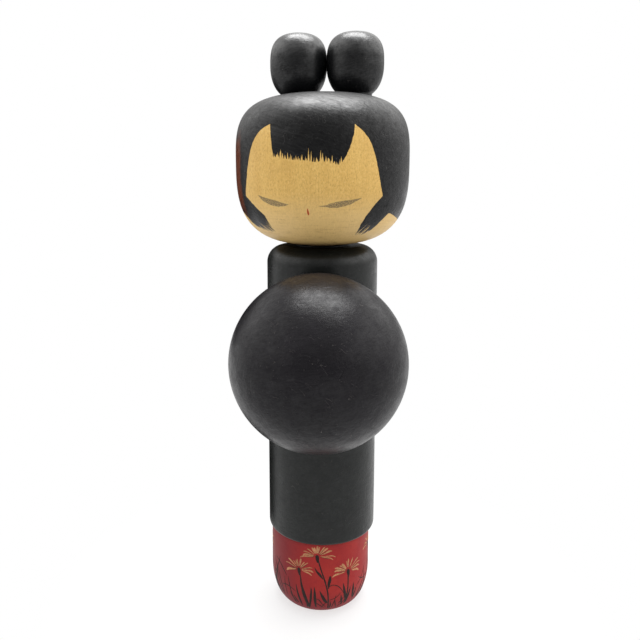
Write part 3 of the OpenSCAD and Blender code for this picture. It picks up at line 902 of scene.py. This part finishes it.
def build_painting():
    rnd = random.Random(20)
    petals, stems = bmesh.new(), bmesh.new()
    flower(petals, stems, -1.6, 33.8, 98, 6.1, 13, rnd)
    flower(petals, stems, -23.0, 25.4, 106, 5.5, 13, rnd, lean=-6)
    flower(petals, stems, 35.4, 23.8, 96, 6.2, 13, rnd, lean=3)
    flower(petals, stems, 78.0, 31.0, 90, 5.0, 10, rnd, lean=6)
    flower(petals, stems, -84.0, 30.0, 95, 5.2, 10, rnd, lean=-5)
    lines = [
        # main stems
        [(-1.2, 33.0, 0.42), (2.6, 27.0, 0.34), (7.4, 20.0, 0.36), (10.6, 13.0, 0.36), (11.6, 3.6, 0.38)],
        [(-22.4, 24.6, 0.46), (-20.4, 19.5, 0.32), (-17.2, 13.0, 0.30), (-13.6, 5.0, 0.36)],
        [(35.4, 23.0, 0.46), (35.2, 17.0, 0.38), (34.8, 11.0, 0.42), (33.0, 5.0, 0.42)],
        [(78.2, 30.0, 0.28), (76.0, 21.0, 0.28), (72.0, 12.0, 0.30), (69.0, 4.0, 0.34)],
        [(-84.2, 29.0, 0.28), (-82.0, 20.0, 0.26), (-80.0, 11.0, 0.30), (-78.0, 4.0, 0.34)],
        # leaf on the middle stem, bud beside it, thin arching stem
        [(-4.6, 28.2, 0.08), (-2.6, 26.2, 0.42), (1.2, 24.2, 0.62), (5.0, 21.8, 0.2)],
        [(13.0, 23.4, 0.25), (12.6, 21.2, 0.82), (11.4, 18.8, 0.72), (11.0, 16.4, 0.22)],
        [(11.2, 17.4, 0.16), (16.5, 18.2, 0.2), (23.5, 16.6, 0.22), (29.8, 12.4, 0.16)],
        # broad blades
        [(-21.6, 20.2, 0.08), (-20.0, 17.4, 0.55), (-17.0, 11.8, 0.95), (-13.6, 6.2, 0.8), (-12.0, 3.2, 0.4)],
        [(-8.8, 17.0, 0.08), (-8.6, 14.4, 0.5), (-9.6, 9.6, 0.6), (-11.4, 4.4, 0.35)],
        [(-5.0, 17.4, 0.08), (-4.6, 14.2, 0.55), (-4.4, 9.8, 0.72), (-3.6, 4.4, 0.3)],
        [(1.0, 15.4, 0.1), (3.6, 12.6, 0.6), (6.8, 9.6, 0.9), (9.6, 7.6, 0.45)],
        [(28.6, 18.2, 0.1), (30.2, 14.6, 0.62), (32.0, 10.6, 0.7), (34.2, 7.2, 0.4)],
        [(43.2, 16.2, 0.1), (43.6, 12.8, 0.72), (43.8, 9.8, 0.72), (44.2, 7.2, 0.35)],
        [(39.0, 14.6, 0.1), (37.8, 11.6, 0.5), (36.2, 8.4, 0.55), (35.0, 5.4, 0.3)],
        # thin grasses near the foot
        [(20.6, 12.4, 0.08), (18.6, 8.2, 0.24), (16.2, 4.0, 0.2)],
        [(26.4, 13.0, 0.08), (20.0, 10.4, 0.2), (12.6, 9.4, 0.16)],
        [(30.4, 9.6, 0.1), (27.6, 7.6, 0.36), (24.4, 6.2, 0.22)],
        [(33.0, 7.8, 0.1), (28.4, 5.4, 0.3), (23.6, 4.2, 0.18)],
        [(6.4, 4.2, 0.1), (0.6, 6.2, 0.3), (-3.2, 7.6, 0.12)],
        [(-3.0, 10.4, 0.1), (0.4, 9.6, 0.26), (4.4, 6.8, 0.2), (8.8, 4.6, 0.12)],
        [(2.6, 4.0, 0.1), (5.4, 6.2, 0.22), (8.6, 7.8, 0.12)],
        [(22.0, 3.2, 0.12), (20.2, 6.6, 0.32), (19.2, 9.6, 0.1)],
        # crossing stems on the doll's right
        [(-61.0, 25.8, 0.2), (-52.0, 24.2, 0.3), (-44.5, 21.2, 0.3), (-40.6, 19.4, 0.12)],
        [(-38.0, 19.2, 0.14), (-36.4, 14.6, 0.34), (-33.8, 9.4, 0.36), (-31.0, 5.4, 0.3)],
        [(-60.0, 22.0, 0.1), (-54.0, 17.0, 0.3), (-49.8, 11.4, 0.34), (-47.5, 7.4, 0.22)],
        [(-50.0, 12.6, 0.12), (-42.0, 14.0, 0.26), (-34.0, 13.6, 0.24), (-27.6, 12.4, 0.1)],
        [(-66.0, 15.0, 0.1), (-60.0, 19.4, 0.28), (-55.0, 24.0, 0.26), (-52.6, 27.4, 0.08)],
        [(-31.6, 9.4, 0.1), (-29.2, 7.8, 0.46), (-26.4, 5.4, 0.3)],
        [(-44.0, 18.4, 0.08), (-43.4, 13.0, 0.24), (-41.8, 7.6, 0.2)],
        # small blades between the others
        [(-27.0, 17.0, 0.1), (-25.6, 12.6, 0.5), (-23.4, 8.2, 0.6), (-21.4, 4.0, 0.3)],
        [(-36.4, 11.0, 0.1), (-33.0, 8.0, 0.42), (-28.6, 4.6, 0.3)],
        [(-15.4, 9.4, 0.08), (-14.6, 6.6, 0.44), (-15.2, 3.4, 0.24)],
        [(13.4, 8.6, 0.08), (14.2, 6.0, 0.4), (13.2, 3.4, 0.22)],
        [(26.6, 11.6, 0.1), (27.6, 8.6, 0.5), (29.0, 4.8, 0.3)],
        [(31.4, 14.0, 0.1), (33.0, 10.2, 0.55), (33.8, 5.4, 0.4)],
        [(48.6, 12.6, 0.1), (47.4, 9.4, 0.55), (45.2, 5.6, 0.34)],
        [(-56.6, 13.4, 0.1), (-53.0, 9.6, 0.4), (-49.0, 6.2, 0.26)],
        [(-66.4, 24.6, 0.1), (-60.6, 20.6, 0.34), (-56.6, 14.6, 0.3), (-53.4, 9.4, 0.14)],
        # and on its left
        [(52.0, 17.6, 0.1), (58.0, 15.6, 0.26), (64.5, 14.8, 0.26), (70.6, 15.6, 0.1)],
        [(48.4, 13.0, 0.1), (55.0, 15.2, 0.2), (61.0, 18.6, 0.2), (66.0, 22.6, 0.08)],
        [(58.6, 11.6, 0.1), (56.4, 8.8, 0.44), (53.0, 5.6, 0.26)],
    ]
    for ln in lines:
        stroke(stems, ln, thick=0.08, rnd=rnd)
    # more of the same grasses round the sides and a few at the back
    for base in (58, 66, 84, 96, 108, 122, 140, 163, 186, 204, 222, 238, 252, 264, 284, 292, 300):
        for k in range(rnd.choice((1, 2, 2))):
            a = (base if base < 180 else base - 360) + rnd.uniform(-4, 4)
            tall = rnd.uniform(8, 19)
            lean = rnd.uniform(-9, 9)
            w = rnd.uniform(0.3, 0.8)
            stroke(stems, [(a + lean, 4.0 + tall, 0.08), (a + lean * 0.55, 4.0 + tall * 0.7, w), (a + lean * 0.15, 4.0 + tall * 0.3, w * 0.9), (a, 3.4, 0.25)], thick=0.08, rnd=rnd)
    strokes_object("hem_petals", petals, petal_paint)
    strokes_object("hem_stems", stems, stem_paint)


build_painting()

# ---------------------------------------------------------------- ball


def build_ball():
    """A dense ball from a spread cube, dented by use, coped to the robe and bored for its dowel."""
    n = 72
    bm = bmesh.new()
    seen = {}

    def vert(p):
        q = Vector(p).normalized()
        key = (round(q.x, 6), round(q.y, 6), round(q.z, 6))
        if key not in seen:
            seen[key] = bm.verts.new(q)
        return seen[key]

    def spread(i):
        return math.tan(math.pi / 4 * (-1 + 2 * i / n))
    sides = [lambda a, b: (a, b, 1), lambda a, b: (b, a, -1), lambda a, b: (1, a, b), lambda a, b: (-1, b, a), lambda a, b: (b, 1, a), lambda a, b: (a, -1, b)]
    for f in sides:
        for i in range(n):
            for j in range(n):
                a0, a1, b0, b1 = spread(i), spread(i + 1), spread(j), spread(j + 1)
                bm.faces.new((vert(f(a0, b0)), vert(f(a1, b0)), vert(f(a1, b1)), vert(f(a0, b1))))
    rnd = random.Random(4)
    dents = []
    for _ in range(16):
        a, b = rnd.uniform(-1.2, 1.2), rnd.uniform(-1.0, 1.0)
        d = Vector((math.sin(a) * math.cos(b), -math.cos(a) * math.cos(b), math.sin(b)))
        dents.append((d, rnd.uniform(0.9, 2.2), rnd.uniform(0.03, 0.09)))
    # two crescent dents near the front
    for ang, deep in ((0.0, 0.16), (0.35, 0.15), (0.7, 0.12), (1.05, 0.08)):
        d = Vector((-0.05 + 0.045 * math.cos(ang + 2.4), -1.0, -0.10 + 0.05 * math.sin(ang + 2.4))).normalized()
        dents.append((d, 1.1, deep))
    dents.append((Vector((0.07, -1.0, -0.13)).normalized(), 1.2, 0.14))
    dents.append((Vector((0.03, -1.0, 0.02)).normalized(), 1.6, 0.06))
    waves = [(Vector((rnd.uniform(-1, 1), rnd.uniform(-1, 1), rnd.uniform(-1, 1))).normalized(), rnd.uniform(2.0, 4.0), rnd.uniform(0, 6.28)) for _ in range(5)]
    for v in bm.verts:
        q = v.co.copy()
        r = BALL_R + 0.05 * sum(math.sin(d.dot(q) * f + p) for d, f, p in waves) / 2 - 0.05
        for d, rad, deep in dents:
            w = (q - d).length * BALL_R / rad
            if w < 2.5:
                r -= deep * math.exp(-w * w)
        v.co = Vector((q.x * r, q.y * r + BALL_Y, q.z * r + BALL_Z)) * MM
    bmesh.ops.recalc_face_normals(bm, faces=bm.faces)
    mesh = bpy.data.meshes.new("ball")
    bm.to_mesh(mesh)
    bm.free()
    robe = cutter("saddle", ROBE_R + 0.02, (0, 0, BALL_Z - BALL_R - 2), (0, 0, 1), 2 * BALL_R + 4, 208)
    bore = cutter("ball_bore", PIN_R, (0, -ROBE_R + 3, BALL_Z), (0, -1, 0), 3 + 25.5)
    mesh = cut(mesh, [robe, bore])
    soften(mesh, 34)
    mesh.materials.clear()
    mesh.materials.append(ball_black)
    obj = new_object("ball", mesh, "body")
    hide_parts("sleeve_ball")


build_ball()

# ---------------------------------------------------------------- head and buns


def bun_place(node):
    lo, hi = box_mm(node)
    return (lo.x + hi.x) / 2, (lo.y + hi.y) / 2, (hi.x - lo.x) / 2, lo.z, hi.z


def build_head():
    out = superellipse(HEAD_R, HEAD_Z1 - HEAD_MID, 3.4, HEAD_MID - HEAD_Z0, 3.0, HEAD_MID, 84)
    roof = neck_hi.z + 0.5
    bore = NECK_R
    lip = 0.35
    # the chin's flat starts at the bore's rim, the crown runs to the axis
    keep = [p for p in out if not (p[0] < bore + lip + 0.2 and p[1] < HEAD_MID)]
    pts = resample([(0.0, roof), (bore, roof), (bore, HEAD_Z0 + lip), (bore + lip, HEAD_Z0)], 2.5)
    pts += resample([(bore + lip, HEAD_Z0)] + keep, 1.1)[1:]
    off = ripple(12, 0.09)

    def shape(p, a, r):
        if r > 12:
            k = off(a, p.z) * min(1.0, (r - 12) / 8)
            p.x += k * math.sin(a)
            p.y -= k * math.cos(a)
        return p
    mesh = turned("head_block", pts, 256, shape=shape)
    cutters = []
    for side in ("left", "right"):
        x, y, r, z0, z1 = bun_place("bun_" + side)
        cutters.append(cutter("seat_" + side, 0.65 * r, (x, y, z0), (0, 0, 1), 12, 96))
        peg_l, peg_h = box_mm("bun_peg_" + side)
        cutters.append(cutter("peg_bore_" + side, (peg_h.x - peg_l.x) / 2, (x, y, peg_l.z - 0.5), (0, 0, 1), z0 + 1 - (peg_l.z - 0.5), 64))
    mesh = cut(mesh, cutters)
    soften(mesh, 34)
    mesh.materials.clear()
    mesh.materials.append(head_paint)
    obj = new_object("head_block", mesh, "head")
    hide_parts("head")


def build_bun(side, seed):
    x, y, r, z0, z1 = bun_place("bun_" + side)
    peg_l, peg_h = box_mm("bun_peg_" + side)
    peg_r = (peg_h.x - peg_l.x) / 2
    foot_r = 0.595 * r
    up = 15.2
    mid = z1 - up
    down = mid - (z0 + 1.6)
    n = 2.3
    body = superellipse(r + 0.08, up + (0.35 if x < 0 else 0.0), 2.85, down, n, mid, 56)
    drop = down * (1 - (foot_r / r) ** n) ** (1 / n)
    meet = mid - drop
    keep = [p for p in body if p[1] > meet + 0.15]
    out = resample([(0.0, peg_h.z + 0.5), (peg_r, peg_h.z + 0.5), (peg_r, z0 + 0.2), (peg_r + 0.2, z0), (foot_r - 0.3, z0), (foot_r, z0 + 0.3), (foot_r, meet - 0.25)], 1.5)
    out += resample([(foot_r, meet - 0.25), (foot_r + 0.12, meet)] + keep, 0.9)[1:]
    off = ripple(seed, 0.10)

    def shape(p, a, rad):
        if rad > foot_r + 0.2:
            k = off(a, p.z) * min(1.0, (rad - foot_r - 0.2) / 2)
            k = 0.0 if rad > r - 0.4 else k * min(1.0, (r - 0.4 - rad) / 1.2)
            p.x += k * math.sin(a)
            p.y -= k * math.cos(a)
        return p
    mesh = turned("hair_bun_" + side, out, 144, centre=(x, y), shape=shape)
    soften(mesh, 40)
    mesh.materials.append(bun_black)
    obj = new_object("hair_bun_" + side, mesh, "head")
    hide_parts("bun_" + side)


build_head()
build_bun("left", 31)
build_bun("right", 47)

# ---------------------------------------------------------------- floor, light and camera


def build_floor():
    bm = bmesh.new()
    radii = [0.0, 0.02, 0.05, 0.1, 0.2, 0.4, 0.8, 1.6, 3.0, 6.0]
    n = 96
    centre = bm.verts.new((0, 0, -0.0003))
    prev = None
    for r in radii[1:]:
        ring = [bm.verts.new((r * math.cos(2 * math.pi * k / n), r * math.sin(2 * math.pi * k / n), -0.0003)) for k in range(n)]
        for k in range(n):
            m = (k + 1) % n
            if prev is None:
                bm.faces.new((centre, ring[k], ring[m]))
            else:
                bm.faces.new((prev[k], ring[k], ring[m], prev[m]))
        prev = ring
    mesh = bpy.data.meshes.new("floor")
    bm.to_mesh(mesh)
    bm.free()
    m = Mat("floor_pale")
    n1 = m.noise(m.x, m.y, m.z, scale=0.004, detail=3)
    n2 = m.noise(m.x, m.y, m.z, scale=0.8, detail=3)
    col = m.mix(n1.step(0.3, 0.7), (0.84, 0.84, 0.84), (0.87, 0.87, 0.868))
    m.set(color=col, rough=0.8 + (n2 - 0.5) * 0.1, normal=m.bump(n2, 0.1, 0.05), spec=0.1)
    # painted light: the pale sheet glows, two thirds white where the doll stands, which lightens its contact shadow,
    # and fully white further out, where it runs into the white backdrop
    rad = (m.x.pow(2.0) + m.y.pow(2.0)).pow(0.5)
    glow = m.t.nodes.new("ShaderNodeEmission")
    glow.inputs["Color"].default_value = (1.0, 1.0, 1.0, 1.0)
    glow.inputs["Strength"].default_value = 1.0
    blend = m.t.nodes.new("ShaderNodeMixShader")
    out = m.t.nodes["Material Output"]
    m.t.links.new(rad.step(22.0, 150.0, 0.66, 1.0).sock, blend.inputs[0])
    m.t.links.new(m.shader.outputs[0], blend.inputs[1])
    m.t.links.new(glow.outputs[0], blend.inputs[2])
    m.t.links.new(blend.outputs[0], out.inputs["Surface"])
    mesh.materials.append(m.mat)
    obj = bpy.data.objects.new("floor", mesh)
    bpy.context.scene.collection.objects.link(obj)


build_floor()


def build_flag():
    """A dark studio flag low down behind the doll's right, seen only as the dark edge it gives the lacquer."""
    bm = bmesh.new()
    n = 20
    cols = []
    for i in range(n + 1):
        a = math.radians(-103.0 - 90.0 * i / n)
        x, y = 0.085 * math.sin(a), -0.085 * math.cos(a)
        cols.append((bm.verts.new((x, y, 0.0005)), bm.verts.new((x, y, 0.070))))
    tall = []
    for i in range(n + 1):
        a = math.radians(-116.0 - 66.0 * i / n)
        x, y = 0.25 * math.sin(a), -0.25 * math.cos(a)
        tall.append((bm.verts.new((x, y, 0.112)), bm.verts.new((x, y, 0.262))))
    for strip in (cols, tall):
        for a, b in zip(strip, strip[1:]):
            bm.faces.new((a[0], b[0], b[1], a[1]))
    mesh = bpy.data.meshes.new("flag")
    bm.to_mesh(mesh)
    bm.free()
    m = Mat("flag_cloth")
    weave = m.noise(m.x, m.y, m.z, scale=1.5, detail=3)
    col = m.mix(weave.step(0.3, 0.7), (0.006, 0.006, 0.006), (0.012, 0.012, 0.012))
    m.set(color=col, rough=0.9 + (weave - 0.5) * 0.1, normal=m.bump(weave, 0.3, 0.2), spec=0.05)
    mesh.materials.append(m.mat)
    obj = bpy.data.objects.new("flag", mesh)
    bpy.context.scene.collection.objects.link(obj)
    obj.visible_camera = False
    obj.visible_shadow = False
    obj.visible_diffuse = False


build_flag()


def build_world():
    """White backdrop to the eye; for light, bright above and behind, dimmer on the side where the camera stands."""
    world = bpy.data.worlds.new("studio")
    bpy.context.scene.world = world
    world.use_nodes = True
    t = world.node_tree
    for n in list(t.nodes):
        t.nodes.remove(n)
    out = t.nodes.new("ShaderNodeOutputWorld")
    co = t.nodes.new("ShaderNodeTexCoord")
    sep = t.nodes.new("ShaderNodeSeparateXYZ")
    t.links.new(co.outputs["Generated"], sep.inputs[0])
    x, y, z = (Val(t, sep.outputs[i]) for i in range(3))
    front = (y * -1.0).step(0.1, 0.9)                # towards the camera side
    back = y.step(0.25, 0.9)
    high = z.step(0.15, 0.75)
    far_left = (x * -1.0).step(0.05, 0.45) * y.step(0.35, 0.75) * z.step(0.35, 0.05)
    panels = x.abs().step(0.42, 0.72) * z.step(0.04, 0.34) * z.step(0.9, 0.72)     # two tall diffusers at the sides
    rise = z.step(0.0, 0.40)
    level = (1.0 - front * (0.84 - rise * 0.42) - back * 0.46 - far_left * 0.22).max(high * 0.8) + panels * (x.step(-0.1, 0.1) * 0.36 + 0.74)
    soft_back = y.step(0.46, 0.64) * z.step(0.30, 0.46) * z.step(0.86, 0.74) * x.step(-0.40, 0.10, 0.15, 1.0) * x.step(0.90, 0.55)
    low_back = y.step(0.80, 0.95) * z.step(0.05, 0.12) * z.step(0.34, 0.22) * x.abs().step(0.45, 0.20)
    level = level + soft_back * 1.15 - low_back * 0.24
    light = t.nodes.new("ShaderNodeBackground")
    light.inputs["Color"].default_value = (1.0, 0.995, 0.985, 1.0)
    t.links.new(level.sock, light.inputs["Strength"])
    plain = t.nodes.new("ShaderNodeBackground")
    plain.inputs["Color"].default_value = (1.0, 1.0, 1.0, 1.0)
    plain.inputs["Strength"].default_value = 1.0
    path = t.nodes.new("ShaderNodeLightPath")
    mix = t.nodes.new("ShaderNodeMixShader")
    t.links.new(path.outputs["Is Camera Ray"], mix.inputs[0])
    t.links.new(light.outputs[0], mix.inputs[1])
    t.links.new(plain.outputs[0], mix.inputs[2])
    t.links.new(mix.outputs[0], out.inputs[0])


build_world()


def area(name, at, aim, width, height, watts, colour=(1, 1, 1)):
    data = bpy.data.lights.new(name, "AREA")
    data.shape = "RECTANGLE"
    data.size, data.size_y = width, height
    data.energy = watts
    data.color = colour
    obj = bpy.data.objects.new(name, data)
    bpy.context.scene.collection.objects.link(obj)
    obj.location = at
    obj.rotation_mode = "QUATERNION"
    obj.rotation_quaternion = (Vector(aim) - Vector(at)).to_track_quat("-Z", "Y")
    return obj


area("overhead", (0.07, 0.11, 1.10), (0.02, 0.0, 0.15), 0.85, 0.54, 13.0)

cam_data = bpy.data.cameras.new("camera")
cam = bpy.data.objects.new("camera", cam_data)
bpy.context.scene.collection.objects.link(cam)
cam.location = (0.0096, -0.3327, 0.2250)
yaw, pitch, roll = math.radians(3.6), math.radians(8.2652), math.radians(-0.148)
forward = Vector((-math.sin(yaw) * math.cos(pitch), math.cos(yaw) * math.cos(pitch), -math.sin(pitch)))
right = forward.cross(Vector((0, 0, 1))).normalized()
up = right.cross(forward)
r2 = right * math.cos(roll) + up * math.sin(roll)
u2 = up * math.cos(roll) - right * math.sin(roll)
cam.rotation_mode = "QUATERNION"
cam.rotation_quaternion = Matrix((r2, u2, -forward)).transposed().to_quaternion()
cam_data.sensor_width = 36.0
cam_data.lens = 36.9
cam_data.shift_x = 0.03125
cam_data.shift_y = -0.078125
cam_data.clip_start, cam_data.clip_end = 0.01, 50.0
cam_data.dof.use_dof = False
bpy.context.scene.camera = cam
bpy.context.scene.view_settings.view_transform = "Standard"
